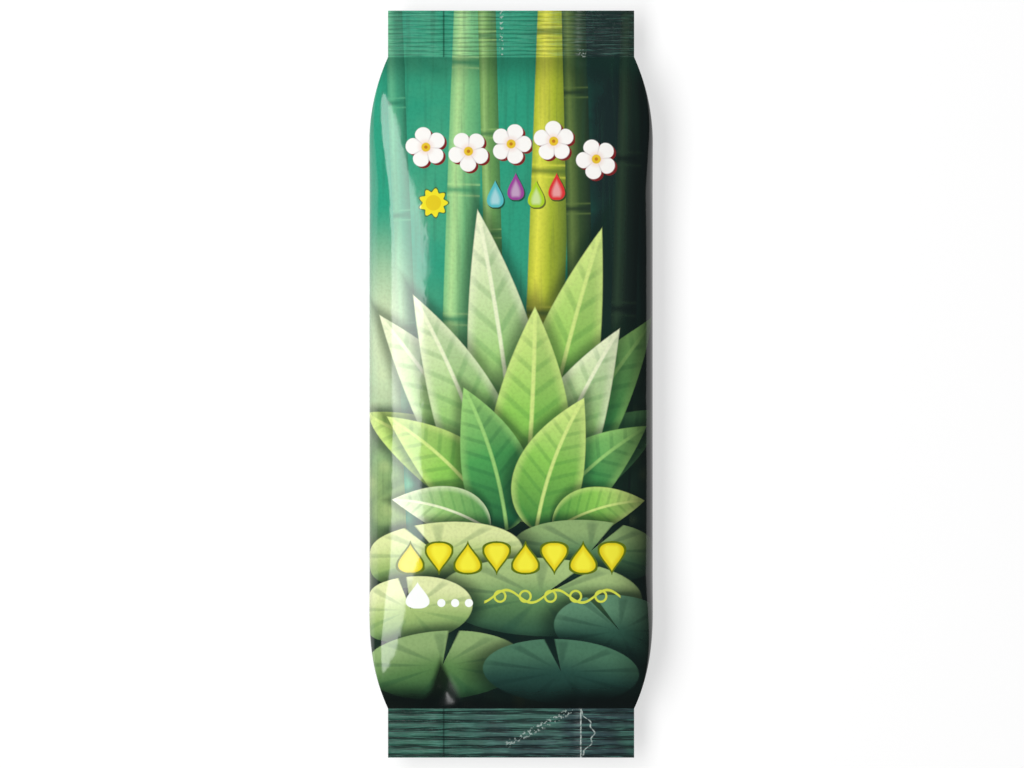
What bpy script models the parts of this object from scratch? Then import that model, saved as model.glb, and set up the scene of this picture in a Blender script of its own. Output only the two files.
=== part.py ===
"""Pocket pack of wet wipes in a printed film wrapper.

One web of film is folded round a stack of wipes. Its long edges are sealed
face to face into a fin that lies flat on the back. Each end is pressed shut
between ribbed jaws, with the film of both sides tucked in as gussets. The
full pack is sealed all round, so it is one solid: a loft through sections
across the pack, from the cut edge of one end seal to that of the other.

The pack lies on its back. X runs across it, Y runs towards the top of its
front and Z is up. The origin is under its middle, on the table. Metres.
"""

import math

import bmesh
import bpy

MM = 0.001

# The full pack
PACK_LENGTH = 180.0 * MM
BODY_WIDTH = 68.2 * MM
BODY_HEIGHT = 16.4 * MM
FRONT_CROWN = 1.2 * MM

# The film and its end seals
FILM = 0.1 * MM
SEAL_WIDTH = 59.3 * MM
SEAL_LEVEL = 7.2 * MM
TOP_SEAL = 11.2 * MM
BOTTOM_SEAL = 11.8 * MM
GUSSET_DEPTH = 13.4 * MM

# The jaws press broad ridges with narrow grooves between them
TOP_RIB_PITCH = 1.03 * MM
TOP_GROOVE_WIDTH = 0.5 * MM
TOP_GROOVE_DEPTH = 0.14 * MM
BOTTOM_RIB_PITCH = 2.07 * MM
BOTTOM_GROOVE_WIDTH = 0.76 * MM
BOTTOM_GROOVE_DEPTH = 0.26 * MM
FIRST_GROOVE = 0.46  # pitches from the seal line

# The shoulders, where the body draws in to a seal
TOP_SHOULDER = 21.2 * MM
BOTTOM_SHOULDER = 24.8 * MM
TOP_SHOULDER_POWER = 2.0
BOTTOM_SHOULDER_POWER = 2.4
RISE_LENGTH = 24.0 * MM
RISE_POWER = 2.2

# The front panel, squarer near the seals than in the middle, and the back
END_SQUARENESS = 8.0
END_REACH = 22.0 * MM
FRONT_SQUARENESS = 4.6
MIDDLE_REACH = 45.0 * MM
BACK_SQUARENESS = 7.0
BACK_SAG = 0.5 * MM

# The sides between the panels. Near the seals, the gussets' outer folds stand
# nearly as high as the panels' middles, with the side tucked in between them.
SIDE_WALL = 2.6 * MM
OUTER_FOLD_LENGTH = 32.0 * MM
OUTER_FOLD_SHARE = 0.92
GUSSET_TUCK = 8.0 * MM
FOLD_SPREAD = 0.5 * MM

# The fin, folded flat towards -X, with a slit between it and the back
FIN_WIDTH = 14.0 * MM
FIN_GAP = 0.2 * MM
FIN_EASE = 4.0 * MM
FIN_GROOVES = 5
FIN_GROOVE_WIDTH = 0.9 * MM
FIN_GROOVE_DEPTH = 0.08 * MM
FIN_SEAM = 0.02 * MM
FIN_OPEN = 0.3  # share of the film's rise from which the slit is as deep as the fin

# The gussets' inner folds, and the creases and ridges that run from them into
# the front: (end, place across the pack, half width, length, depth or -height)
FOLD_LINE = SEAL_WIDTH / 2 - GUSSET_DEPTH
CREASES = (
    ("bottom", -FOLD_LINE + 0.3 * MM, 3.2 * MM, 12.5 * MM, 2.8 * MM),
    ("bottom", -FOLD_LINE + 5.0 * MM, 2.2 * MM, 9.5 * MM, -0.7 * MM),
    ("bottom", FOLD_LINE, 2.8 * MM, 8.5 * MM, 0.9 * MM),
    ("top", -FOLD_LINE, 3.0 * MM, 7.5 * MM, 0.9 * MM),
    ("top", FOLD_LINE, 2.8 * MM, 8.5 * MM, 1.1 * MM),
)
CREASE_DEEPEST = 0.42  # share of its length
CREASE_NARROWING = 0.6
CREASE_RUN_OUT = 0.8

# Fineness of the mesh
INNER_STEPS = 16
OUTER_STEPS = 14
BACK_STEPS = 8
SIDE_STEPS = 6
STATIONS = 56
EVEN_SPACING = 0.45

TOP_LINE = PACK_LENGTH / 2 - TOP_SEAL
BOTTOM_LINE = BOTTOM_SEAL - PACK_LENGTH / 2


def clear_scene():
    for old in list(bpy.data.objects):
        bpy.data.objects.remove(old, do_unlink=True)


def film_finish():
    """Glossy printed film, in the green that covers most of the front."""
    finish = bpy.data.materials.new("printed_film")
    finish.use_nodes = True
    shader = finish.node_tree.nodes["Principled BSDF"]
    shader.inputs["Base Color"].default_value = (0.09, 0.24, 0.10, 1.0)
    shader.inputs["Roughness"].default_value = 0.25
    shader.inputs["Metallic"].default_value = 0.0
    return finish


def loft(name, rings):
    """A closed body through rings of points, capped at both ends."""
    mesh = bmesh.new()
    loops = [[mesh.verts.new(point) for point in ring] for ring in rings]
    for near, far in zip(loops, loops[1:]):
        for i in range(len(near)):
            j = (i + 1) % len(near)
            mesh.faces.new((near[i], near[j], far[j], far[i]))
    mesh.faces.new(loops[0])
    mesh.faces.new(loops[-1])
    bmesh.ops.recalc_face_normals(mesh, faces=mesh.faces)
    data = bpy.data.meshes.new(name)
    mesh.to_mesh(data)
    mesh.free()
    return bpy.data.objects.new(name, data)


def share(part, whole):
    """How much of the whole the part makes up, from 0 to 1."""
    return min(max(part / whole, 0.0), 1.0)


def smooth(part, whole):
    """The same, with a gentle start and end."""
    along = share(part, whole)
    return along * along * (3 - 2 * along)


def eased(start, end, steps):
    """Places from start to end, closer together near the end."""
    return [
        start + (end - start) * math.sin(math.pi / 2 * i / steps)
        for i in range(steps + 1)
    ]


def from_ends(y):
    """Distances of a station from the two seal lines, top then bottom."""
    return TOP_LINE - y, y - BOTTOM_LINE


def half_width(y):
    """Half the width seen from the front, from a seal's to the full body's."""
    from_top, from_bottom = from_ends(y)
    top = 1 - (1 - share(from_top, TOP_SHOULDER)) ** TOP_SHOULDER_POWER
    bottom = 1 - (1 - share(from_bottom, BOTTOM_SHOULDER)) ** BOTTOM_SHOULDER_POWER
    return (SEAL_WIDTH + (BODY_WIDTH - SEAL_WIDTH) * min(top, bottom)) / 2


def rise(y):
    """How far the film has opened: 0 in a seal, 1 where the body is full."""
    return 1 - (1 - share(min(from_ends(y)), RISE_LENGTH)) ** RISE_POWER


def fold(y):
    """How sharp the outer folds are: 1 at a seal, 0 where they have run out."""
    return 1 - share(min(from_ends(y)), OUTER_FOLD_LENGTH)


def tuck(y):
    """How far the sides are tucked in: 0 at both ends of the outer folds, and 1
    a third of the way along them, which is what 27/4 is for."""
    return 27 / 4 * (1 - fold(y)) * fold(y) ** 2


def squareness(y):
    """How square the front is across, which falls off towards the middle."""
    middle = smooth(min(from_ends(y)) - END_REACH, MIDDLE_REACH - END_REACH)
    return END_SQUARENESS + (FRONT_SQUARENESS - END_SQUARENESS) * middle


def outer_fold(panel, y):
    """How far a panel's edge stands from the seals' level, from its middle's."""
    side = SIDE_WALL / 2 * rise(y) * (1 - fold(y))
    return side + OUTER_FOLD_SHARE * panel * fold(y)


def crease(x, y):
    """Depth of the creases at a point of the front. Each runs out to a point."""
    from_top, from_bottom = from_ends(y)
    depth = 0.0
    for end, place, half, length, deepest in CREASES:
        along = share(from_top if end == "top" else from_bottom, length)
        spread = half * (1 - CREASE_NARROWING * along)
        shape = math.exp(-(((x - place) / spread) ** 2))
        shape *= smooth(along, CREASE_DEEPEST) * (1 - along) ** CREASE_RUN_OUT
        depth += deepest * shape
    return depth


def sealed_films(x):
    """Films on each side of an end seal's middle: a panel, and a gusset's half."""
    return 2 if abs(x) > FOLD_LINE else 1


def swell(x, y, power):
    """How full the pack is at a place across it, from 1 to 0 at its edges."""
    return math.sqrt(1 - share(abs(x), half_width(y)) ** power)


def front_height(x, y):
    """Height of the front above the table."""
    crown = FRONT_CROWN * (2 * y / PACK_LENGTH) ** 2
    top = (BODY_HEIGHT - SEAL_LEVEL - crown) * rise(y)
    edge = outer_fold(top, y)
    films = sealed_films(x) * FILM * (1 - rise(y))
    opening = edge + (top - edge) * swell(x, y, squareness(y))
    return SEAL_LEVEL + films + opening - crease(x, y)


def back_height(x, y):
    """Height of the back, which the wipes' weight flattens on the table."""
    bottom = (SEAL_LEVEL + BACK_SAG) * rise(y)
    edge = outer_fold(bottom, y)
    films = sealed_films(x) * FILM * (1 - rise(y))
    opening = edge + (bottom - edge) * swell(x, y, BACK_SQUARENESS)
    return max(SEAL_LEVEL - films - opening, 0.0)


def fin_lift(x, y):
    """How far the fin holds the back beside it off the table."""
    beside = 1 - smooth(-FIN_WIDTH - x, FIN_EASE)
    return (2 * FILM + FIN_GAP) * rise(y) * beside


def fin_level(x, y):
    """Height of the fin's outer face, which a seal presses against the back."""
    return max(back_height(x, y) - 2 * FILM * (1 - rise(y)), 0.0)


def fin_face(x, y):
    """The same with the grooves that run along the fin."""
    pitch = FIN_WIDTH / FIN_GROOVES
    from_groove = abs((x / pitch) % 1 - 0.5) * pitch
    groove = FIN_GROOVE_DEPTH * (1 - share(from_groove, FIN_GROOVE_WIDTH / 2))
    return fin_level(x, y) + groove * rise(y)


def fin_slit(y):
    """The slit between the fin and the back: in along one wall, out by the other.

    It closes to a seam at the fin's edge where a seal presses the fin."""
    depth = FIN_SEAM + (FIN_WIDTH - 2 * FIN_SEAM) * smooth(rise(y), FIN_OPEN)
    places = [depth * i / 2 - FIN_WIDTH for i in range(3)]
    inside = 2 * FILM - FIN_SEAM * (1 - rise(y))
    back = [(x, back_height(x, y) + fin_lift(x, y)) for x in places]
    fin = [(x, fin_level(x, y) + inside) for x in places]
    return back + fin[::-1]


def front_section(y):
    """Across the front from +X to -X, with a pair of points astride each fold.

    They stand close together in a seal, where a layer of film ends in a step."""
    astride = FILM / 2 + FOLD_SPREAD * rise(y)
    inner = FOLD_LINE - astride
    outer = eased(FOLD_LINE + astride, half_width(y), OUTER_STEPS)
    places = outer[::-1]
    places += [inner - 2 * inner * i / INNER_STEPS for i in range(INNER_STEPS + 1)]
    places += [-x for x in outer]
    return [(x, front_height(x, y)) for x in places]


def back_section(y):
    """Across the back from -X to +X, in and out of the slit beside the fin."""
    pitch = FIN_WIDTH / FIN_GROOVES
    fin = [-FIN_WIDTH, 0.0]
    for i in range(FIN_GROOVES):
        middle = (i + 0.5) * pitch - FIN_WIDTH
        fin += [middle - FIN_GROOVE_WIDTH / 2, middle, middle + FIN_GROOVE_WIDTH / 2]
    left = [-x for x in eased(FIN_WIDTH, half_width(y), BACK_STEPS)[1:]]
    right = eased(0.0, half_width(y), BACK_STEPS)[1:]
    for place in (-FOLD_LINE - FILM / 2, -FOLD_LINE + FILM / 2):
        (left if place < -FIN_WIDTH else fin).append(place)
    right += [FOLD_LINE - FILM / 2, FOLD_LINE + FILM / 2]
    across = [(x, back_height(x, y) + fin_lift(x, y)) for x in sorted(left)]
    across += fin_slit(y)
    across += [(x, fin_face(x, y)) for x in sorted(fin)]
    return across + [(x, back_height(x, y)) for x in sorted(right)]


def side_section(y, sign):
    """Down the tucked side, between the front's edge and the back's."""
    edge = half_width(y)
    high = front_height(edge, y)
    low = back_height(edge, y)
    wall = []
    for i in range(1, SIDE_STEPS):
        down = i / SIDE_STEPS
        inward = GUSSET_TUCK * tuck(y) * (1 - abs(1 - 2 * down))
        wall.append((sign * (edge - inward), high + (low - high) * down))
    return wall


def section(y, drop=0.0):
    """The film's outline across the pack at one station, as a ring."""
    ring = front_section(y) + side_section(y, -1)
    ring += back_section(y) + side_section(y, 1)[::-1]
    return [(x, y, z + drop) for x, z in ring]


def crimped(line, edge, pitch, groove_width, groove_depth):
    """Sections of an end seal from the body to its cut edge."""
    outward = 1 if edge > line else -1
    rings = []
    middle = pitch * FIRST_GROOVE
    while middle + groove_width / 2 < abs(edge - line):
        for offset, drop in ((-0.5, 0.0), (0.0, -groove_depth), (0.5, 0.0)):
            rings.append(section(line + outward * (middle + offset * groove_width), drop))
        middle += pitch
    return rings + [section(edge)]


def opened():
    """Sections between the seal lines, closer together on the shoulders."""
    middle = (TOP_LINE + BOTTOM_LINE) / 2
    half = (TOP_LINE - BOTTOM_LINE) / 2
    rings = []
    for i in range(STATIONS + 1):
        along = 2 * i / STATIONS - 1
        crowded = math.sin(math.pi / 2 * along)
        place = crowded + (along - crowded) * EVEN_SPACING
        rings.append(section(middle + half * place))
    return rings


def build():
    clear_scene()
    group = bpy.data.collections.new("wet_wipes_pack")
    bpy.context.scene.collection.children.link(group)
    bottom = crimped(
        BOTTOM_LINE, -PACK_LENGTH / 2,
        BOTTOM_RIB_PITCH, BOTTOM_GROOVE_WIDTH, BOTTOM_GROOVE_DEPTH,
    )
    top = crimped(
        TOP_LINE, PACK_LENGTH / 2,
        TOP_RIB_PITCH, TOP_GROOVE_WIDTH, TOP_GROOVE_DEPTH,
    )
    pack = loft("wipes_pack", bottom[::-1] + opened() + top)
    group.objects.link(pack)
    pack.data.materials.append(film_finish())
    pack.data.shade_smooth()
    pack.data.set_sharp_from_angle(angle=math.radians(30))


build()
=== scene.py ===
"""The wet wipes pack's looks: its film, the print on it, and a plain studio.

Metres, in the CAD model's frame: the pack lies on its back with its printed
front up, X across it, Y towards the top of the front. The print is drawn in
millimetres on the flat film.
"""

import math

import bpy
import numpy as np
from mathutils import Matrix, Vector


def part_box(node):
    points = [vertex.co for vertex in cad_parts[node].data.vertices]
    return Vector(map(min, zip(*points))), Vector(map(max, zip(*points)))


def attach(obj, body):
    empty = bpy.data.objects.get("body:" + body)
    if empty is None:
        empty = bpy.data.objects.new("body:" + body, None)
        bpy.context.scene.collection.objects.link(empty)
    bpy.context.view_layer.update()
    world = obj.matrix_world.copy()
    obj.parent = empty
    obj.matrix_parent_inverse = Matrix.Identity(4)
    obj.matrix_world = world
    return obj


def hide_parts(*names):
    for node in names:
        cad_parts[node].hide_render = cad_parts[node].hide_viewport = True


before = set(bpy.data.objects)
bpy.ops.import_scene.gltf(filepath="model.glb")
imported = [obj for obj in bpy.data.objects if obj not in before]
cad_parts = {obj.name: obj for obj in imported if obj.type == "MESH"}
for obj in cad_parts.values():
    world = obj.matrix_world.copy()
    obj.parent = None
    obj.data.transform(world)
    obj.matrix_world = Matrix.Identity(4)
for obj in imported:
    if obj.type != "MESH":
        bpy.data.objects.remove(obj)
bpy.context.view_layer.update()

# The film pouch. One web of laminated film is folded round the stack of wipes.
# Its long edges meet in a fin that lies flat on the back, and each end is
# pressed shut between ribbed jaws with the sides tucked in as gussets.

MM = 0.001
low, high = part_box("wipes_pack")
PACK_LENGTH = high.y - low.y
BODY_WIDTH = high.x - low.x
SLACK = 0.15 * MM
BODY_HEIGHT = high.z - low.z - SLACK
FRONT_CROWN = 1.2 * MM
FILM = 0.1 * MM
SEAL_WIDTH = 59.3 * MM
SEAL_LEVEL = 7.2 * MM
TOP_LINE = high.y - 11.2 * MM
BOTTOM_LINE = low.y + 11.8 * MM
MIDDLE_LINE = (TOP_LINE + BOTTOM_LINE) / 2
FOLD_LINE = SEAL_WIDTH / 2 - 13.4 * MM
TOP_SHOULDER = 21.2 * MM
BOTTOM_SHOULDER = 24.8 * MM
TOP_SHOULDER_POWER = 2.0
BOTTOM_SHOULDER_POWER = 2.4
RISE_LENGTH = 24.0 * MM
RISE_POWER = 2.2
FRONT_SQUARENESS = 4.6
END_SQUARENESS = 8.0
END_REACH = 22.0 * MM
MIDDLE_REACH = 45.0 * MM
BACK_SQUARENESS = 7.0
BACK_SAG = 0.5 * MM
SIDE_WALL = 2.6 * MM
OUTER_FOLD_LENGTH = 32.0 * MM
OUTER_FOLD_SHARE = 0.92
GUSSET_TUCK = 8.0 * MM
FOLD_SPREAD = 0.5 * MM
FOLD_SOFTNESS = 1.0 * MM
FIN_WIDTH = 14.0 * MM
FIN_GAP = 0.2 * MM
FIN_EASE = 4.0 * MM
FIN_GROOVES = 5
FIN_GROOVE_WIDTH = 0.9 * MM
FIN_GROOVE_DEPTH = 0.08 * MM
FIN_SEAM = 0.02 * MM

# Creases and ridges by the seals: end, place, half width, length, depth
CREASES = (
    ("bottom", -FOLD_LINE + 0.3 * MM, 3.2 * MM, 12.5 * MM, 2.8 * MM),
    ("bottom", -FOLD_LINE + 5.0 * MM, 2.2 * MM, 9.5 * MM, -0.7 * MM),
    ("bottom", FOLD_LINE, 2.8 * MM, 8.5 * MM, 0.9 * MM),
    ("top", -FOLD_LINE, 3.0 * MM, 7.5 * MM, 0.9 * MM),
    ("top", FOLD_LINE, 2.8 * MM, 8.5 * MM, 1.1 * MM),
)
CREASE_DEEPEST = 0.42
CREASE_NARROWING = 0.6
CREASE_RUN_OUT = 0.8

# The jaws' ridges and grooves: pitch, groove width, groove depth
TOP_RIBS = (1.03 * MM, 0.5 * MM, 0.14 * MM)
BOTTOM_RIBS = (2.07 * MM, 0.76 * MM, 0.26 * MM)
FIRST_GROOVE = 0.46

# The film's slight waves: height, lengths across and along the pack, and start
WAVES = (
    (0.06 * MM, 7.9 * MM, 11.0 * MM, 0.0),
    (0.05 * MM, 4.1 * MM, -17.0 * MM, 1.3),
)
CROSS_WAVE = 0.04 * MM

# How far the jaws' marks wander, and how far they step where four films lie
RIB_WANDER = 0.05 * MM
RIB_STEP = 0.12 * MM

# Fineness of the mesh
INNER_STEPS = 58
OUTER_STEPS = 32
BACK_STEPS = 18
SIDE_STEPS = 12
SLIT_STEPS = 4
FIN_STEPS = 8 * FIN_GROOVES
STATIONS = 180
TOP_SEAL_STEP = 0.087 * MM
BOTTOM_SEAL_STEP = 0.13 * MM


def share(part, whole):
    return np.clip(part / whole, 0.0, 1.0)


def smooth(part, whole):
    along = share(part, whole)
    return along * along * (3 - 2 * along)


def eased(start, end, steps):
    """Places from start to end, closer together near the end."""
    return start + (end - start) * np.sin(np.pi / 2 * np.arange(steps + 1) / steps)


def from_seals(y):
    return min(TOP_LINE - y, y - BOTTOM_LINE)


def half_width(y):
    """Half the pack's width: narrow at the seals, full beyond the shoulders."""
    top = 1 - (1 - share(TOP_LINE - y, TOP_SHOULDER)) ** TOP_SHOULDER_POWER
    bottom = 1 - (1 - share(y - BOTTOM_LINE, BOTTOM_SHOULDER)) ** BOTTOM_SHOULDER_POWER
    return (SEAL_WIDTH + (BODY_WIDTH - SEAL_WIDTH) * min(top, bottom)) / 2


def rise(y):
    """How far the film has opened: 0 in a seal, 1 where the body is full."""
    return 1 - (1 - share(from_seals(y), RISE_LENGTH)) ** RISE_POWER


def fold(y):
    """How sharp the gussets' outer folds are: 1 at a seal, 0 where they have gone."""
    return 1 - share(from_seals(y), OUTER_FOLD_LENGTH)


def tuck(y):
    """How deep the sides are tucked in: 1 at a third of the outer folds' length."""
    along = share(from_seals(y), OUTER_FOLD_LENGTH)
    return 27 / 4 * along * (1 - along) ** 2


def squareness(y):
    """The power of the front's arch. A higher one is flatter, with tighter edges."""
    middle = smooth(from_seals(y) - END_REACH, MIDDLE_REACH - END_REACH)
    return END_SQUARENESS + (FRONT_SQUARENESS - END_SQUARENESS) * middle


def outer_fold(panel, y):
    """The height of the outer folds, where a panel rises this far in its middle."""
    return SIDE_WALL / 2 * rise(y) * (1 - fold(y)) + OUTER_FOLD_SHARE * panel * fold(y)


def crease(x, y):
    """How far the creases sink the front. A ridge counts as less than nothing."""
    depth = 0.0
    for end, place, half, length, deepest in CREASES:
        along = share(TOP_LINE - y if end == "top" else y - BOTTOM_LINE, length)
        spread = half * (1 - CREASE_NARROWING * along)
        shape = np.exp(-(((x - place) / spread) ** 2))
        shape = shape * smooth(along, CREASE_DEEPEST) * (1 - along) ** CREASE_RUN_OUT
        depth = depth + deepest * shape
    return depth


def sealed_films(x):
    """Films on each side of a seal's middle: one, and two where a gusset is tucked in."""
    return 1 + smooth(np.abs(x) - FOLD_LINE + FOLD_SOFTNESS, 2 * FOLD_SOFTNESS)


def ribs(x, y):
    """How far the jaws press the film down. Their marks wander a little."""
    line, sign = (TOP_LINE, 1) if y > MIDDLE_LINE else (BOTTOM_LINE, -1)
    pitch, width, depth = TOP_RIBS if y > MIDDLE_LINE else BOTTOM_RIBS
    wander = RIB_WANDER * np.sin(x / (5.3 * MM) + 40 * y / PACK_LENGTH)
    wander += RIB_STEP * (sealed_films(x) - 1)
    out = sign * (y - line) + wander - FIRST_GROOVE * pitch
    from_groove = out - np.maximum(np.round(out / pitch), 0) * pitch
    return depth * np.exp(-((from_groove / (0.42 * width)) ** 2))


def swell(x, y, power):
    """The arch across the pack: 1 in the middle, 0 at its sides."""
    return np.sqrt(1 - share(np.abs(x), half_width(y)) ** power)


def wrinkles(x, y):
    """The film's own slight waves, which fade out towards its edges."""
    waves = CROSS_WAVE * np.sin(y / (5.6 * MM) + 2.0 * np.sin(x / (13.0 * MM)))
    for height, across, along, start in WAVES:
        waves = waves + height * np.sin(x / across + y / along + start)
    return waves * (1 - share(np.abs(x), half_width(y)) ** 4) * rise(y) ** 2


def front_height(x, y):
    crown = FRONT_CROWN * (2 * y / PACK_LENGTH) ** 2
    top = (BODY_HEIGHT - SEAL_LEVEL - crown) * rise(y)
    edge = outer_fold(top, y)
    films = sealed_films(x) * FILM * (1 - rise(y))
    opening = edge + (top - edge) * swell(x, y, squareness(y))
    return SEAL_LEVEL + films + opening - crease(x, y) + wrinkles(x, y)


def back_height(x, y):
    bottom = (SEAL_LEVEL + BACK_SAG) * rise(y)
    edge = outer_fold(bottom, y)
    films = sealed_films(x) * FILM * (1 - rise(y))
    opening = edge + (bottom - edge) * swell(x, y, BACK_SQUARENESS)
    return np.maximum(SEAL_LEVEL - films - opening, 0.0)


def fin_lift(x, y):
    """How far the back is raised to make room for the fin."""
    return (2 * FILM + FIN_GAP) * rise(y) * (1 - smooth(-FIN_WIDTH - x, FIN_EASE))


def fin_level(x, y):
    return np.maximum(back_height(x, y) - 2 * FILM * (1 - rise(y)), 0.0)


def fin_face(x, y):
    """The fin's underside, with the grooves that the sealing rollers leave."""
    pitch = FIN_WIDTH / FIN_GROOVES
    from_groove = np.abs((x / pitch) % 1 - 0.5) * pitch
    groove = FIN_GROOVE_DEPTH * np.exp(-((2.4 * from_groove / FIN_GROOVE_WIDTH) ** 2))
    return fin_level(x, y) + groove * rise(y)


def front_section(y):
    """Across the front from +X to -X: places and heights."""
    astride = FILM / 2 + FOLD_SPREAD * rise(y)
    outer = eased(FOLD_LINE + astride, half_width(y), OUTER_STEPS)
    inner = np.linspace(FOLD_LINE - astride, astride - FOLD_LINE, INNER_STEPS + 1)
    x = np.concatenate([outer[::-1], inner, -outer])
    return x, front_height(x, y)


def back_section(y):
    """Across the back from -X to +X, in and out of the slit beside the fin."""
    left = -eased(FIN_WIDTH, half_width(y), BACK_STEPS)[1:]
    left = np.sort(np.append(left, [-FOLD_LINE - FILM / 2, -FOLD_LINE + FILM / 2]))
    depth = FIN_SEAM + (FIN_WIDTH - 2 * FIN_SEAM) * smooth(rise(y), 0.3)
    slit = depth * np.linspace(0, 1, SLIT_STEPS + 1) - FIN_WIDTH
    fin = np.linspace(-FIN_WIDTH, 0.0, FIN_STEPS + 1)
    right = eased(0.0, half_width(y), BACK_STEPS)[1:]
    right = np.sort(np.append(right, [FOLD_LINE - FILM / 2, FOLD_LINE + FILM / 2]))
    inside = 2 * FILM - FIN_SEAM * (1 - rise(y))
    x = np.concatenate([left, slit, slit[::-1], fin, right])
    z = np.concatenate([
        back_height(left, y) + fin_lift(left, y),
        back_height(slit, y) + fin_lift(slit, y),
        fin_level(slit[::-1], y) + inside,
        fin_face(fin, y),
        back_height(right, y),
    ])
    return x, z


def side_section(y, sign):
    """Down the tucked side, between the front's edge and the back's."""
    edge = half_width(y)
    down = np.arange(1, SIDE_STEPS) / SIDE_STEPS
    inward = GUSSET_TUCK * tuck(y) * (1 - np.abs(1 - 2 * down))
    top = front_height(edge, y)
    return sign * (edge - inward), top + (back_height(edge, y) - top) * down


def section(y):
    """Right round the pack, from the front's right edge over the front."""
    right_x, right_z = side_section(y, 1)
    parts = [front_section(y), side_section(y, -1), back_section(y), (right_x[::-1], right_z[::-1])]
    x = np.concatenate([part[0] for part in parts])
    z = np.concatenate([part[1] for part in parts])
    if from_seals(y) < 0:
        z = z - ribs(x, y)
    return x, np.maximum(z, 0.0)


def stations():
    """Where the sections are taken, closest together in the ribbed seals."""
    bottom = np.arange(low.y, BOTTOM_LINE - BOTTOM_SEAL_STEP / 2, BOTTOM_SEAL_STEP)
    top = np.arange(high.y, TOP_LINE + TOP_SEAL_STEP / 2, -TOP_SEAL_STEP)[::-1]
    along = np.linspace(-1, 1, STATIONS + 1)
    spread = 0.4 * along + 0.6 * np.sin(np.pi / 2 * along)
    body = MIDDLE_LINE + (TOP_LINE - BOTTOM_LINE) / 2 * spread
    return np.concatenate([bottom, body, top])


station_y = stations()
sections = [section(y) for y in station_y]
grid_x = np.array([x for x, z in sections])
grid_z = np.array([z for x, z in sections])
grid_y = np.repeat(station_y[:, None], grid_x.shape[1], axis=1)
rings, around = grid_x.shape
corner = np.arange(rings * around).reshape(rings, around)
next_corner = np.roll(corner, -1, axis=1)
quads = np.stack([corner[:-1], corner[1:], next_corner[1:], next_corner[:-1]], axis=2)
caps = [corner[0].tolist(), corner[-1][::-1].tolist()]
points = np.stack([grid_x, grid_y, grid_z], axis=2).reshape(-1, 3)
pouch_mesh = bpy.data.meshes.new("film_pouch")
pouch_mesh.from_pydata(points.tolist(), [], quads.reshape(-1, 4).tolist() + caps)
film_pouch = bpy.data.objects.new("film_pouch", pouch_mesh)
bpy.context.scene.collection.objects.link(film_pouch)
pouch_mesh.shade_smooth()
pouch_mesh.set_sharp_from_angle(angle=math.radians(50))
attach(film_pouch, "root")
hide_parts("wipes_pack")

# The flat web. The film is printed before it is folded, so the print is laid
# out on the flat web: across it from the middle of the front, and along it.
# Behind, each half of the web is measured back from the root of the fin.

WEB_HALF = 78.0 * MM
front_count = INNER_STEPS + 1 + 2 * (OUTER_STEPS + 1)
side_count = SIDE_STEPS - 1
left_back = front_count + side_count
slit_start = left_back + BACK_STEPS + 2
slit_end = slit_start + 2 * (SLIT_STEPS + 1)
inner_fin = slit_start + SLIT_STEPS + 1
right_side = around - side_count

step = np.hypot(np.diff(grid_x[:, :front_count], axis=1), np.diff(grid_z[:, :front_count], axis=1))
run = np.concatenate([np.zeros((rings, 1)), np.cumsum(step, axis=1)], axis=1)
across = np.zeros((rings, around + 1))
across[:, :front_count] = run[:, [front_count // 2]] - run
across[:, left_back:inner_fin] = -WEB_HALF - grid_x[:, left_back:inner_fin]
across[:, inner_fin:slit_end] = -WEB_HALF + grid_x[:, inner_fin:slit_end]
across[:, slit_end:right_side] = WEB_HALF - grid_x[:, slit_end:right_side]
down = np.arange(1, SIDE_STEPS) / SIDE_STEPS
edge_front, edge_back = across[:, [front_count - 1]], across[:, [left_back]]
across[:, front_count:left_back] = edge_front + (edge_back - edge_front) * down
edge_back, edge_front = across[:, [right_side - 1]], across[:, [0]]
across[:, right_side:around] = edge_back + (edge_front - edge_back) * down
across[:, around] = across[:, 0]


def corner_grid(left, right, rows):
    """The quads' corners in a flat map, from the columns' two sides and the rows."""
    first = np.stack([left[:-1], rows[:-1]], axis=2)
    second = np.stack([left[1:], rows[1:]], axis=2)
    third = np.stack([right[1:], rows[1:]], axis=2)
    fourth = np.stack([right[:-1], rows[:-1]], axis=2)
    return np.stack([first, second, third, fourth], axis=2).reshape(-1, 2)


left_side = across[:, :-1] / MM
right_hand = across[:, 1:] / MM
right_hand[:, slit_end - 1] = left_side[:, slit_end - 1] - 2 * FILM / MM
web = corner_grid(left_side, right_hand, grid_y / MM)
cap_web = [np.stack([grid_x[row], grid_y[row]], axis=1) / MM for row in (0, -1)]
cap_web[1] = cap_web[1][::-1]
web_map = pouch_mesh.uv_layers.new(name="Web")
web_map.data.foreach_set("uv", np.concatenate([web] + cap_web).astype(np.float32).ravel())

middle_ring = rings // 2
ring_step = np.hypot(
    np.roll(grid_x[middle_ring], -1) - grid_x[middle_ring],
    np.roll(grid_z[middle_ring], -1) - grid_z[middle_ring],
)
ring_place = np.concatenate([[0.0], np.cumsum(ring_step)]) / ring_step.sum()
row_place = 0.01 + 0.98 * (station_y - low.y) / PACK_LENGTH
flat_left = np.repeat(ring_place[None, :-1], rings, axis=0)
flat_right = np.repeat(ring_place[None, 1:], rings, axis=0)
flat = corner_grid(flat_left, flat_right, np.repeat(row_place[:, None], around, axis=1))
cap_flat = []
for row, base in ((0, 0.001), (-1, 0.992)):
    height = (grid_z[row] - grid_z[row].min()) / np.ptp(grid_z[row])
    cap_flat.append(np.stack([grid_x[row] / BODY_WIDTH + 0.5, base + 0.007 * height], axis=1))
cap_flat[1] = cap_flat[1][::-1]
bake_map = pouch_mesh.uv_layers.new(name="OFBake")
bake_map.data.foreach_set("uv", np.concatenate([flat] + cap_flat).astype(np.float32).ravel())

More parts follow.
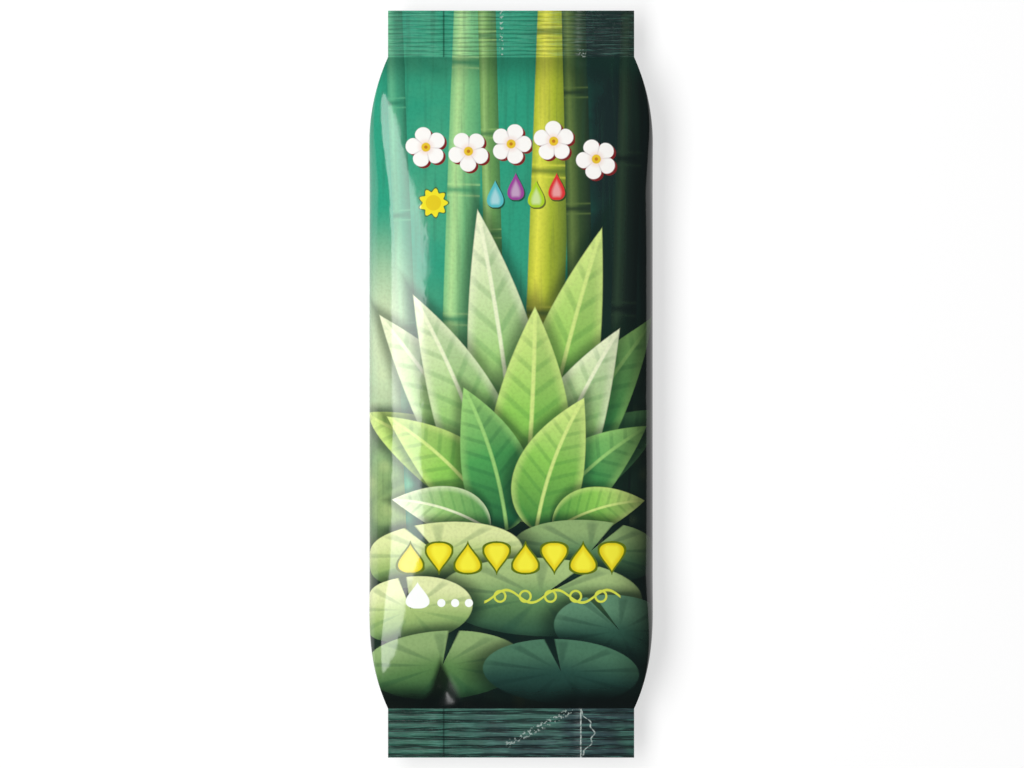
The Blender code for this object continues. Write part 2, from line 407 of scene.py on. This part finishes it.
# The print. Inks on film, drawn on the flat web in millimetres: stalks of
# bamboo in a green mist, a fan of broad leaves, pads on dark water, and rows
# of blossoms and drops. It has no lettering.

film = bpy.data.materials.new("printed_film")
film.use_nodes = True
pouch_mesh.materials.append(film)
film_tree = film.node_tree
shader = film_tree.nodes["Principled BSDF"]


def ink(red, green, blue):
    """An ink's colour from its usual numbers, 0 to 255."""
    parts = []
    for part in (red, green, blue):
        part = part / 255
        parts.append(part / 12.92 if part <= 0.04045 else ((part + 0.055) / 1.055) ** 2.4)
    return (*parts, 1.0)


def feed(socket, value):
    """Set a node's input to a number or a colour, or link a field to it."""
    if isinstance(value, Field):
        value.tree.links.new(value.socket, socket)
    else:
        socket.default_value = value


def add_node(kind, *values):
    """A new node, in the tree that the fields among its values belong to."""
    tree = next(value.tree for value in values if isinstance(value, Field))
    return tree, tree.nodes.new(kind)


def calculate(operation, *values):
    """One step of arithmetic on fields and numbers."""
    tree, node = add_node("ShaderNodeMath", *values)
    node.operation = operation
    for socket, value in zip(node.inputs, values):
        feed(socket, value)
    return Field(tree, node.outputs[0])


class Field:
    """A number or a colour that varies over the film, in a tree of nodes."""

    def __init__(self, tree, socket):
        self.tree = tree
        self.socket = socket

    def __add__(self, other):
        return calculate("ADD", self, other)

    def __sub__(self, other):
        return calculate("SUBTRACT", self, other)

    def __rsub__(self, other):
        return calculate("SUBTRACT", other, self)

    def __mul__(self, other):
        return calculate("MULTIPLY", self, other)

    def __truediv__(self, other):
        return calculate("DIVIDE", self, other)

    def __abs__(self):
        return calculate("ABSOLUTE", self)

    __radd__ = __add__
    __rmul__ = __mul__


def fade(value, start, end, low_end=0.0, high_end=1.0):
    """Smoothly from one value to the other as the field goes from start to end."""
    tree, node = add_node("ShaderNodeMapRange", value)
    node.interpolation_type = "SMOOTHSTEP"
    node.clamp = False
    for socket, number in zip(node.inputs, (value, start, end, low_end, high_end)):
        feed(socket, number)
    return Field(tree, node.outputs["Result"])


def paint(under, over, cover):
    """One colour over another, as thick as the cover."""
    tree, node = add_node("ShaderNodeMix", under, over, cover)
    node.data_type = "RGBA"
    feed(node.inputs["Factor"], cover)
    feed(node.inputs["A"], under)
    feed(node.inputs["B"], over)
    return Field(tree, node.outputs["Result"])


def blend(value, *stops, steps=False):
    """A colour that follows a field through the given stops."""
    tree, node = add_node("ShaderNodeValToRGB", value)
    node.color_ramp.interpolation = "CONSTANT" if steps else "LINEAR"
    elements = node.color_ramp.elements
    elements[0].position, elements[0].color = stops[0]
    elements[1].position, elements[1].color = stops[-1]
    for position, colour in stops[1:-1]:
        elements.new(position).color = colour
    feed(node.inputs["Fac"], value)
    return Field(tree, node.outputs["Color"])


def distance(across, along):
    """How far a point is from the middle of a motif's own frame."""
    return calculate("SQRT", across * across + along * along)


# Where a point lies on the web, in millimetres
web_node = film_tree.nodes.new("ShaderNodeUVMap")
web_node.uv_map = "Web"
web_place = Field(film_tree, web_node.outputs["UV"])
split = film_tree.nodes.new("ShaderNodeSeparateXYZ")
feed(split.inputs[0], web_place)
web_across = Field(film_tree, split.outputs["X"])
web_along = Field(film_tree, split.outputs["Y"])


def on_web(kind, size, stretch, seed):
    """A texture node on the flat web, whose patches are about this big."""
    scaled = film_tree.nodes.new("ShaderNodeMapping")
    scaled.inputs["Location"].default_value = (seed, seed / 2, seed)
    scaled.inputs["Scale"].default_value = (1 / (size * stretch[0]), 1 / (size * stretch[1]), 1.0)
    feed(scaled.inputs["Vector"], web_place)
    node = film_tree.nodes.new(kind)
    node.inputs["Scale"].default_value = 1.0
    film_tree.links.new(scaled.outputs[0], node.inputs["Vector"])
    return node


def mottle(size, detail, stretch=(1.0, 1.0), seed=0.0):
    """A cloudy field from 0 to 1."""
    node = on_web("ShaderNodeTexNoise", size, stretch, seed)
    node.noise_dimensions = "2D"
    node.inputs["Detail"].default_value = detail
    return Field(film_tree, node.outputs["Fac"])


def laid(across, along, at, turn=0.0, size=(1.0, 1.0)):
    """Across and along in a motif's own frame, turned by degrees and scaled."""
    cos, sin = math.cos(math.radians(turn)), math.sin(math.radians(turn))
    start = (at[0] * cos + at[1] * sin) / size[0], (at[1] * cos - at[0] * sin) / size[1]
    part_across = calculate("MULTIPLY_ADD", along, sin / size[0], -start[0])
    part_along = calculate("MULTIPLY_ADD", along, cos / size[1], -start[1])
    return (
        calculate("MULTIPLY_ADD", across, cos / size[0], part_across),
        calculate("MULTIPLY_ADD", across, -sin / size[1], part_along),
    )


def lay(picture, motif, *details):
    """The picture with a motif over it, which is drawn in a node group of its own."""
    group = bpy.data.node_groups.new(motif.__name__, "ShaderNodeTree")
    sockets = {"Under": "NodeSocketColor", "Across": "NodeSocketFloat", "Along": "NodeSocketFloat"}
    for name, kind in sockets.items():
        group.interface.new_socket(name, in_out="INPUT", socket_type=kind)
    group.interface.new_socket("Over", in_out="OUTPUT", socket_type="NodeSocketColor")
    way_in = group.nodes.new("NodeGroupInput")
    under, across, along = [Field(group, way_in.outputs[name]) for name in sockets]
    drawn = motif(under, across, along, *details)
    way_out = group.nodes.new("NodeGroupOutput")
    feed(way_out.inputs["Over"], drawn)
    placed = film_tree.nodes.new("ShaderNodeGroup")
    placed.node_tree = group
    for name, value in zip(sockets, (picture, web_across, web_along)):
        feed(placed.inputs[name], value)
    return Field(film_tree, placed.outputs["Over"])


# The ground: misty green on the left, slate on the right, dark water below
clouds = mottle(26.0, 4.0, seed=3.0)
drift = (clouds - 0.5) * 26.0
upper = paint(ink(44, 154, 122), ink(22, 40, 40), fade(web_across + drift, 2.0, 22.0))
lower = paint(ink(140, 168, 108), ink(28, 58, 52), fade(web_across + drift, -26.0, 28.0))
ground = paint(lower, upper, fade(web_along + drift, -34.0, 30.0))
haze = fade(clouds, 0.45, 0.75) * fade(web_across, 14.0, -20.0)
ground = paint(ground, ink(104, 186, 136), haze * 0.25)

# Soft leafy clumps low down, each lit at its top
clump_node = on_web("ShaderNodeTexVoronoi", 9.0, (1.0, 0.8), 4.0)
clump_node.voronoi_dimensions = "2D"
clump_node.feature = "SMOOTH_F1"
clump_node.inputs["Smoothness"].default_value = 0.35
clump = Field(film_tree, clump_node.outputs["Distance"])
leafy = paint(ground, ink(52, 92, 66), fade(clump, 0.35, 0.75, 0.0, 0.55))
leafy = paint(leafy, ink(176, 196, 130), fade(clump, 0.32, 0.05, 0.0, 0.4))
leafy = paint(leafy, ink(30, 52, 40), fade(web_across, 10.0, 30.0, 0.0, 0.8))
picture = paint(ground, leafy, fade(web_along, 20.0, -12.0))


def stalk(under, across, along, at, turn, half, joints, light, body, shade):
    """A bamboo stalk: lit on its left, ringed at its joints."""
    side, up = laid(across, along, at, turn, (half, joints))
    colour = blend(side * 0.5 + 0.5, (0.0, body), (0.22, light), (0.55, body), (1.0, shade))
    from_joint = abs(calculate("FRACT", up) - 0.5)
    colour = paint(colour, shade, fade(from_joint, 0.035, 0.0, 0.0, 0.75))
    rim = fade(from_joint, 0.06, 0.035) * fade(from_joint, 0.03, 0.045)
    colour = paint(colour, light, rim * 0.7)
    return paint(under, colour, fade(abs(side), 1.02, 0.94))


# Middle, turn, half width, pitch of the joints, and lit, plain and shaded colours
STALKS = (
    ((-24.5, 0.0), 2.5, 2.2, 27.0, ink(98, 182, 140), ink(66, 154, 120), ink(44, 124, 96)),
    ((-13.0, 0.0), -2.0, 4.0, 31.0, ink(176, 220, 148), ink(120, 190, 128), ink(68, 150, 106)),
    ((-3.5, 0.0), 1.5, 2.2, 24.0, ink(150, 192, 116), ink(104, 154, 84), ink(66, 118, 72)),
    ((7.5, 0.0), -2.2, 4.6, 34.0, ink(222, 222, 76), ink(162, 178, 50), ink(84, 110, 44)),
    ((17.0, 0.0), 1.2, 3.0, 28.0, ink(96, 120, 62), ink(52, 76, 44), ink(28, 46, 36)),
    ((26.5, 0.0), -2.0, 3.2, 36.0, ink(46, 68, 50), ink(28, 44, 38), ink(18, 30, 30)),
)
for details in STALKS:
    picture = lay(picture, stalk, *details)
streaks = mottle(3.0, 3.0, stretch=(0.5, 9.0), seed=8.0)
picture = paint(picture, ink(40, 78, 58), fade(streaks, 0.5, 0.75) * 0.22)


def glow(under, across, along):
    """A pale glow behind the leaves on the left."""
    out = distance((across + 31.0) / 11.0, (along - 10.0) / 34.0)
    return paint(under, ink(224, 234, 190), fade(out, 1.0, 0.1, 0.0, 0.75))


picture = lay(picture, glow)


def leaf(under, across, along, at, turn, size, bow, root, middle, tip):
    """A broad leaf with a midrib and side veins, and its shadow on what is under it."""
    out, side = laid(across, along, at, turn, size)
    side = side + out * (1.0 - out) * (4.0 * bow)
    from_rib = abs(side)
    room = calculate("SQRT", out) * (1.0 - out) * 2.6 - from_rib
    under = paint(under, ink(14, 40, 30), fade(room, -0.42, 0.0, 0.0, 0.6))
    colour = blend(out, (0.0, root), (0.5, middle), (0.97, tip))
    veins = calculate("SINE", (out - from_rib * 0.16) * (9 * 2 * math.pi))
    colour = paint(colour, root, fade(veins, 0.35, 1.0, 0.0, 0.28))
    colour = paint(colour, root, fade(side, 0.1, -0.1, 0.0, 0.3))
    colour = paint(colour, tip, fade(room, 0.3, 0.0, 0.0, 0.5))
    colour = paint(colour, tip, fade(from_rib, 0.075, 0.02, 0.0, 0.85))
    return paint(under, colour, fade(room, 0.0, 0.045))


# Root, middle and tip colours of the leaves
CREAM_LEAF = (ink(66, 136, 70), ink(160, 206, 120), ink(240, 246, 208))
LIME_LEAF = (ink(52, 124, 58), ink(140, 200, 86), ink(214, 234, 138))
GREEN_LEAF = (ink(24, 84, 54), ink(76, 158, 82), ink(160, 212, 120))
DARK_LEAF = (ink(16, 52, 42), ink(44, 104, 70), ink(104, 158, 96))

# Root, turn, length and half width, bow and colours, the rear ones first
FAN = (
    ((8.0, -28.0), 33.0, (40.0, 8.0), -0.30, DARK_LEAF),
    ((-4.0, -28.0), 148.0, (40.0, 8.0), 0.30, LIME_LEAF),
    ((6.0, -30.0), 57.0, (56.0, 9.0), -0.25, GREEN_LEAF),
    ((-2.0, -30.0), 123.0, (56.0, 9.0), 0.25, CREAM_LEAF),
    ((2.0, -30.0), 98.0, (73.0, 9.5), 0.12, CREAM_LEAF),
    ((5.0, -30.0), 76.0, (70.0, 9.5), -0.12, LIME_LEAF),
    ((-2.0, -32.0), 112.0, (58.0, 9.0), 0.20, CREAM_LEAF),
    ((6.0, -32.0), 66.0, (50.0, 9.0), -0.22, CREAM_LEAF),
    ((3.0, -33.0), 87.0, (52.0, 10.0), 0.06, LIME_LEAF),
    ((-3.0, -34.0), 136.0, (38.0, 8.0), 0.30, LIME_LEAF),
    ((7.0, -34.0), 42.0, (36.0, 8.0), -0.30, GREEN_LEAF),
    ((-1.0, -35.0), 107.0, (36.0, 8.5), 0.20, GREEN_LEAF),
    ((6.0, -35.0), 70.0, (34.0, 8.5), -0.20, LIME_LEAF),
    ((-5.0, -35.0), 163.0, (25.0, 6.0), 0.30, CREAM_LEAF),
    ((10.0, -35.0), 17.0, (24.0, 6.0), -0.30, LIME_LEAF),
)
for at, turn, size, bow, colours in FAN:
    picture = lay(picture, leaf, at, turn, size, bow, *colours)


def pad(under, across, along, at, turn, size, notch, light, body, shade):
    """A round floating leaf, seen from low down: lit rim, spoke veins, one notch."""
    side, up = laid(across, along, at, turn, size)
    out = distance(side, up)
    angle = calculate("ARCTAN2", up, side)
    room = 1.0 - out
    under = paint(under, ink(8, 28, 26), fade(room, -0.35, 0.02, 0.0, 0.75))
    colour = paint(light, body, fade(up + out * 0.35, 0.9, -0.1))
    colour = paint(colour, shade, fade(up, 0.15, -0.95, 0.0, 0.85))
    spokes = calculate("SINE", angle * 9.0)
    colour = paint(colour, shade, fade(spokes, 0.55, 1.0, 0.0, 0.35) * fade(out, 0.05, 0.5))
    colour = paint(colour, light, fade(room, 0.16, 0.03) * fade(up, -0.3, 0.7) * 0.8)
    cut = fade(abs(angle - math.radians(notch)), 0.05, 0.09)
    return paint(under, colour, fade(room, 0.0, 0.025) * cut)


# Middle, turn, half width and half height, notch, and lit, plain and shaded colours
PADS = (
    ((19.0, -40.0), -4.0, (19.0, 7.5), 70.0, ink(140, 170, 110), ink(84, 124, 82), ink(30, 66, 56)),
    ((-17.0, -41.0), 5.0, (20.0, 8.0), 110.0, ink(216, 226, 160), ink(164, 190, 112), ink(86, 128, 78)),
    ((7.0, -51.0), -2.0, (25.0, 9.5), 60.0, ink(164, 190, 124), ink(96, 138, 86), ink(36, 76, 62)),
    ((-24.0, -54.0), 6.0, (15.0, 8.0), 95.0, ink(222, 230, 170), ink(168, 194, 118), ink(92, 134, 80)),
    ((26.0, -59.0), -7.0, (16.0, 8.5), 120.0, ink(92, 136, 106), ink(48, 88, 72), ink(18, 44, 40)),
    ((-16.5, -67.5), 4.0, (20.0, 8.5), 80.0, ink(142, 172, 112), ink(92, 134, 76), ink(40, 86, 56)),
    ((12.0, -69.0), -3.0, (19.0, 8.0), 100.0, ink(74, 118, 92), ink(38, 76, 66), ink(18, 46, 42)),
)
picture = paint(picture, ink(22, 54, 46), fade(web_along, -35.0, -66.0, 0.0, 0.85))
for details in PADS:
    picture = lay(picture, pad, *details)

# The print's ground darkens towards the right edge, ending there in painted shade.
# Painted shade also lies below the top seal, deepens the dark water above the
# bottom seal, and fills the dent.
picture = paint(picture, ink(6, 16, 16), fade(web_across, 22.0, 35.0, 0.0, 0.85))
# Painted shade in a band just below the top seal, where the film bends away from it
painted_shade_below_top_seal = fade(web_along, 71.0, 78.4) * fade(web_along, 78.9, 78.7)
picture = paint(picture, ink(8, 52, 40), painted_shade_below_top_seal * 0.4)
# A near-black band above the bottom seal: the print's dark water, deepened with painted shade where the
# film turns down to the seal
water_and_shade_above_seal = fade(web_along + (clouds - 0.5) * 5.0, -71.0, -77.0)
picture = paint(picture, ink(3, 13, 13), water_and_shade_above_seal * 0.96)
# Painted shade in the crease by the bottom seal's left fold
painted_dent_shade = fade(abs(web_across + 17.0) + (web_along + 67.0) * 0.45, 1.4, -0.6)
picture = paint(picture, ink(3, 13, 13), painted_dent_shade * 0.9)
in_top_seal = fade(web_along, 78.7, 78.9)
in_bottom_seal = fade(web_along, -78.1, -78.3)
seal_ground = blend(
    web_across / 64.0 + 0.5, (0.0, ink(44, 96, 80)), (0.3, ink(46, 92, 80)),
    (0.6, ink(50, 76, 78)), (1.0, ink(36, 58, 62)),
)
seal_ground = paint(seal_ground, ink(60, 118, 96), fade(clouds, 0.5, 0.62, 0.0, 0.4))
picture = paint(picture, seal_ground, in_bottom_seal)

# Painted shade in the seals' grooves, a painted sheen on the ribs between them,
# and a painted shadow line along the left fold
seal_streaks = mottle(1.0, 4.0, stretch=(7.0, 0.28), seed=21.0)


def from_groove(line, outward, ribs):
    """How far a point of a seal is from the middle of a groove, in millimetres."""
    pitch = ribs[0] / MM
    out = (web_along - line / MM) * (outward / pitch) - FIRST_GROOVE
    return abs(out - calculate("ROUND", out)) * pitch


# Painted shade in the bottom seal's grooves, and fainter in the top seal's
groove = fade(from_groove(BOTTOM_LINE, -1, BOTTOM_RIBS) + (seal_streaks - 0.5) * 1.7, 0.8, 0.15)
picture = paint(picture, ink(8, 20, 22), groove * in_bottom_seal * 0.8)
groove = fade(from_groove(TOP_LINE, 1, TOP_RIBS) + (seal_streaks - 0.5) * 1.6, 0.3, 0.0)
picture = paint(picture, ink(8, 48, 40), groove * in_top_seal * 0.4)
# Painted sheen on the seals' ribs, in pale streaks
painted_seal_sheen = fade(seal_streaks, 0.54, 0.7, 0.0, 0.3) * (in_top_seal * 0.6 + in_bottom_seal)
picture = paint(picture, ink(104, 168, 150), painted_seal_sheen)
# Painted shade along the left fold line across both seals
painted_fold_shade = fade(abs(web_across + FOLD_LINE / MM), 0.3, 0.1)
picture = paint(picture, ink(8, 26, 24), painted_fold_shade * (in_top_seal + in_bottom_seal) * 0.6)

# Painted highlights in the seals: fine pale glints along the crinkled right fold,
# a slanting streak in the bottom seal, and flecks in the top seal
glint_breakup = mottle(0.7, 3.0, seed=24.0)
curl = calculate("SINE", (-79.0 - web_along) * 0.3) * 2.9 + calculate("SINE", web_along * 2.3) * 0.35
from_curl = calculate("MINIMUM", abs(web_across - 16.8), abs(web_across - curl - 16.9))
painted_glint_lines = fade(from_curl, 0.24, 0.08) * fade(glint_breakup, 0.36, 0.56, 0.15, 0.75) * in_bottom_seal
slant, beside_slant = laid(web_across, web_along, (7.0, -82.6), 28.0)
flecks = fade(abs(beside_slant), 1.1, 0.4) * fade(abs(slant), 9.6, 8.6) * in_bottom_seal
flecks = flecks + fade(abs(web_across + 2.3), 0.6, 0.2) * in_top_seal
flecks = flecks + fade(abs(web_across - 17.2), 1.2, 0.2) * fade(web_along, 81.5, 79.5) * in_top_seal
painted_glint_lines = painted_glint_lines + flecks * fade(glint_breakup, 0.55, 0.6) * 0.5
picture = paint(picture, ink(196, 210, 204), painted_glint_lines)

# The back is plain, and the print fades into it round the sides
back_colour = paint(ink(62, 128, 104), ink(40, 84, 74), fade(clouds, 0.35, 0.7))
picture = paint(picture, back_colour, fade(abs(web_across), 38.0, 52.0, 0.0, 0.85))

# The ink of the ground lies a little unevenly
grain = mottle(0.8, 3.0, seed=5.0)
picture = paint(picture, ink(8, 30, 20), fade(grain, 0.4, 0.7, 0.0, 0.08))


def repeated(across, middle, pitch, first, last):
    """Across from the nearest motif of a row, and its number from the middle one."""
    across = across - middle
    number = calculate("MAXIMUM", calculate("ROUND", across / pitch), first)
    number = calculate("MINIMUM", number, last)
    return across - number * pitch, number


def petals(across, along, radius, turn):
    """How far inside a five-petalled blossom a point is, its distance and its petal."""
    out = distance(across, along) / radius
    angle = calculate("ARCTAN2", along, across) + turn
    petal = calculate("POWER", abs(calculate("COSINE", angle * 2.5)), 0.55)
    return petal * 0.4 + 0.6 - out, out, petal


def drop(across, along, half, tall):
    """How far inside a drop with its point up a point is."""
    level = calculate("MAXIMUM", calculate("MINIMUM", along / tall, 1.0), -1.0)
    wide = (1.0 - level) * calculate("SQRT", 1.0 - level * level) * 0.77
    inside_ends = (1.0 - abs(along) / tall) * 2.0
    return calculate("MINIMUM", wide - abs(across) / half, inside_ends)


def blossoms(under, across, along):
    """Five white blossoms with a dark red shadow, in an arc."""
    across, number = repeated(across, 0.0, 10.2, -2.0, 2.0)
    along = along - 57.5 - calculate("SINE", number * 2.2) * 1.5 + number * number * 0.55
    shadow = petals(across - 0.55, along + 0.45, 5.0, number * 0.9)[0]
    under = paint(under, ink(122, 31, 34), fade(shadow, 0.0, 0.05))
    room, out, petal = petals(across, along, 5.0, number * 0.9)
    colour = paint(ink(246, 244, 240), ink(214, 206, 204), fade(petal, 0.55, 0.1, 0.0, 0.8))
    colour = paint(colour, ink(236, 214, 206), fade(out, 0.5, 0.2, 0.0, 0.7))
    colour = paint(colour, ink(226, 190, 44), fade(out, 0.24, 0.2))
    colour = paint(colour, ink(188, 120, 30), fade(out, 0.1, 0.06))
    return paint(under, colour, fade(room, 0.0, 0.05))


def coloured_drops(under, across, along):
    """Four drops under the blossoms."""
    across, number = repeated(across, 6.0, 4.9, -2.0, 1.0)
    along = along - 46.6 + calculate("COSINE", number * math.pi) * 0.9
    shadow = fade(drop(across - 0.25, along + 0.2, 2.2, 3.7), 0.0, 0.1, 0.0, 0.8)
    under = paint(under, ink(24, 44, 36), shadow)
    colour = blend(
        number / 4.0 + 0.55, (0.0, ink(84, 184, 190)), (0.25, ink(150, 66, 148)),
        (0.5, ink(168, 204, 40)), (0.75, ink(214, 52, 52)), steps=True,
    )
    room = drop(across, along, 2.1, 3.5)
    colour = paint(colour, ink(255, 255, 255), fade(room, 0.25, 0.75, 0.0, 0.3))
    return paint(under, colour, fade(room, 0.0, 0.1))


def sun(under, across, along):
    """A small yellow sun on the left."""
    across, along = across + 18.6, along - 43.4
    out = distance(across, along)
    rays = calculate("COSINE", calculate("ARCTAN2", along, across) * 9.0)
    room = rays * 0.45 + 3.1 - out
    under = paint(under, ink(70, 92, 20), fade(room, -0.4, -0.15, 0.0, 0.8))
    under = paint(under, ink(236, 222, 40), fade(room, 0.0, 0.15))
    return paint(under, ink(214, 180, 24), fade(out, 1.9, 1.75, 0.0, 0.6))


def yellow_drops(under, across, along):
    """A row of eight, every other one upside down."""
    across, number = repeated(across, 3.45, 6.9, -4.0, 3.0)
    along = (along + 41.6) * calculate("COSINE", number * math.pi)
    under = paint(under, ink(92, 112, 20), fade(drop(across, along, 3.5, 4.0), -0.06, 0.0))
    room = drop(across, along, 3.1, 3.6)
    colour = paint(ink(226, 206, 30), ink(240, 232, 60), fade(room, 0.1, 0.6))
    return paint(under, colour, fade(room, 0.0, 0.08))


def twig(under, across, along):
    """A thin twig with buds, on the right."""
    along = along + 50.8
    from_twig = abs(along - calculate("SINE", (across - 20.0) * 0.52) * 1.5)
    reach = fade(across, -6.6, -6.2) * fade(across, 26.4, 26.0)
    under = paint(under, ink(206, 214, 76), fade(from_twig, 0.38, 0.24) * reach)
    across, number = repeated(across, 21.5, 6.04, -4.0, 0.0)
    from_bud = abs(distance(across, along) - 1.3)
    return paint(under, ink(206, 214, 76), fade(from_bud, 0.32, 0.18) * reach)


def white_drop(under, across, along):
    """A white drop on the left, and three dots beside it."""
    room = drop(across + 22.4, along + 50.4, 3.0, 3.4)
    under = paint(under, ink(246, 250, 246), fade(room, 0.0, 0.1))
    across, number = repeated(across, -13.4, 3.3, -1.0, 1.0)
    return paint(under, ink(246, 250, 246), fade(distance(across, along + 52.4), 1.05, 0.9))


for motif in (blossoms, coloured_drops, sun, yellow_drops, twig, white_drop):
    picture = lay(picture, motif)

feed(shader.inputs["Base Color"], picture)

# The film's gloss. It is smooth, with faint ripples, and dulled by the jaws.
sheen = mottle(7.0, 4.0, seed=11.0)
by_seal = fade(abs(web_along + 0.3), 74.0, 78.5)
by_dent = fade(distance(web_across + 15.3, web_along + 75.0), 4.5, 0.5)
dullness = by_seal * 0.12 + by_dent * 0.25
feed(shader.inputs["Roughness"], fade(sheen, 0.3, 0.7, 0.07, 0.12) + dullness)
shader.inputs["IOR"].default_value = 1.6
ripples = mottle(5.0, 3.0, stretch=(1.0, 1.6), seed=14.0)
bump = film_tree.nodes.new("ShaderNodeBump")
bump.inputs["Strength"].default_value = 1.0
bump.inputs["Distance"].default_value = 0.05 * MM
feed(bump.inputs["Height"], ripples + seal_streaks * (in_top_seal + in_bottom_seal) * 1.5)
film_tree.links.new(bump.outputs[0], shader.inputs["Normal"])

# The table. It is white, reaches past every view and keeps the pack's shadow.
# Its lift makes up the white that the lights alone don't give it.

TABLE_SIZE = 6.0
TABLE_GREY = 0.4
TABLE_LIFT = 0.62
bpy.ops.mesh.primitive_plane_add(size=TABLE_SIZE, location=(0.0, 0.0, -0.0002))
table = bpy.context.object
table.name = "table"
laminate = bpy.data.materials.new("white_table")
laminate.use_nodes = True
nodes = laminate.node_tree.nodes
links = laminate.node_tree.links
surface = nodes["Principled BSDF"]
surface.inputs["Base Color"].default_value = (TABLE_GREY, TABLE_GREY, TABLE_GREY, 1.0)
surface.inputs["Roughness"].default_value = 0.9
surface.inputs["Specular IOR Level"].default_value = 0.0
rays = nodes.new("ShaderNodeLightPath")
seen = nodes.new("ShaderNodeMath")
seen.operation = "MAXIMUM"
links.new(rays.outputs["Is Camera Ray"], seen.inputs[0])
links.new(rays.outputs["Is Glossy Ray"], seen.inputs[1])
seen_through = nodes.new("ShaderNodeMath")
seen_through.operation = "MAXIMUM"
links.new(seen.outputs[0], seen_through.inputs[0])
links.new(rays.outputs["Is Transmission Ray"], seen_through.inputs[1])
lift = nodes.new("ShaderNodeMath")
lift.operation = "MULTIPLY"
lift.inputs[1].default_value = TABLE_LIFT
links.new(seen_through.outputs[0], lift.inputs[0])
surface.inputs["Emission Color"].default_value = (1.0, 1.0, 1.0, 1.0)
links.new(lift.outputs[0], surface.inputs["Emission Strength"])
table.data.materials.append(laminate)

# The studio. Its walls are pale low down and dark on the right and overhead. A
# strip light on the left is mirrored down the pack, and a soft one fills in.

WALL_TOP = 0.06
CEILING_FROM = 0.26
PALE_WALL = 0.95
DARK_WALL = 0.08
world = bpy.data.worlds.new("studio")
bpy.context.scene.world = world
world.use_nodes = True
nodes = world.node_tree.nodes
links = world.node_tree.links
direction = nodes.new("ShaderNodeTexCoord")
parts = nodes.new("ShaderNodeSeparateXYZ")
links.new(direction.outputs["Generated"], parts.inputs[0])
right_wall = nodes.new("ShaderNodeMapRange")
right_wall.interpolation_type = "SMOOTHSTEP"
right_wall.inputs["From Min"].default_value = -0.95
right_wall.inputs["From Max"].default_value = -0.2
right_wall.inputs["To Min"].default_value = PALE_WALL
right_wall.inputs["To Max"].default_value = DARK_WALL
links.new(parts.outputs["X"], right_wall.inputs["Value"])
walls = nodes.new("ShaderNodeMapRange")
walls.interpolation_type = "SMOOTHSTEP"
walls.inputs["From Min"].default_value = WALL_TOP
walls.inputs["From Max"].default_value = CEILING_FROM
walls.inputs["To Max"].default_value = DARK_WALL
links.new(parts.outputs["Z"], walls.inputs["Value"])
links.new(right_wall.outputs["Result"], walls.inputs["To Min"])
world_rays = nodes.new("ShaderNodeLightPath")
backdrop = nodes.new("ShaderNodeMix")
backdrop.inputs["B"].default_value = PALE_WALL
links.new(world_rays.outputs["Is Camera Ray"], backdrop.inputs["Factor"])
links.new(walls.outputs["Result"], backdrop.inputs["A"])
links.new(backdrop.outputs["Result"], nodes["Background"].inputs["Strength"])
nodes["Background"].inputs["Color"].default_value = (1.0, 1.0, 1.0, 1.0)


def soft_box(name, place, size, brightness):
    """An oval light that faces the pack, with its length along Y."""
    lamp = bpy.data.lights.new(name, "AREA")
    lamp.shape = "ELLIPSE"
    lamp.size, lamp.size_y = size
    area = math.pi / 4 * size[0] * size[1]
    lamp.energy = brightness * math.pi * area
    box = bpy.data.objects.new(name, lamp)
    bpy.context.scene.collection.objects.link(box)
    box.location = place
    back = Vector(place).normalized()
    along = Vector((0.0, 1.0, 0.0))
    along = (along - back * along.dot(back)).normalized()
    box.rotation_euler = Matrix((along.cross(back), along, back)).transposed().to_euler()
    box.visible_camera = False
    return box


STRIP_ANGLE = math.radians(28)
STRIP_DISTANCE = 0.8
strip_place = (-STRIP_DISTANCE * math.sin(STRIP_ANGLE), 0.0, STRIP_DISTANCE * math.cos(STRIP_ANGLE))
STRIP_SIZE = (0.43, 1.6)
STRIP_BRIGHTNESS = 4.9
SOFT_PLACE = (0.1, 0.35, 1.05)
SOFT_SIZE = (1.0, 1.0)
SOFT_BRIGHTNESS = 1.15
soft_box("strip_light", strip_place, STRIP_SIZE, STRIP_BRIGHTNESS)
overhead = soft_box("soft_light", SOFT_PLACE, SOFT_SIZE, SOFT_BRIGHTNESS)
overhead.visible_glossy = False

# The camera looks straight down on the pack's front, as far off as a long lens.

PIXEL = 0.241 * MM
PHOTO_WIDTH = 1024
CAMERA_HEIGHT = 1.3
SENSOR_WIDTH = 36.0
camera_data = bpy.data.cameras.new("camera")
camera = bpy.data.objects.new("camera", camera_data)
bpy.context.scene.collection.objects.link(camera)
bpy.context.scene.camera = camera
camera.location = (0.9 * PIXEL, 0.1 * PIXEL, CAMERA_HEIGHT)
camera_data.sensor_width = SENSOR_WIDTH
camera_data.lens = SENSOR_WIDTH * (CAMERA_HEIGHT - SEAL_LEVEL) / (PHOTO_WIDTH * PIXEL)
camera_data.clip_end = 20.0
bpy.context.scene.view_settings.view_transform = "Standard"
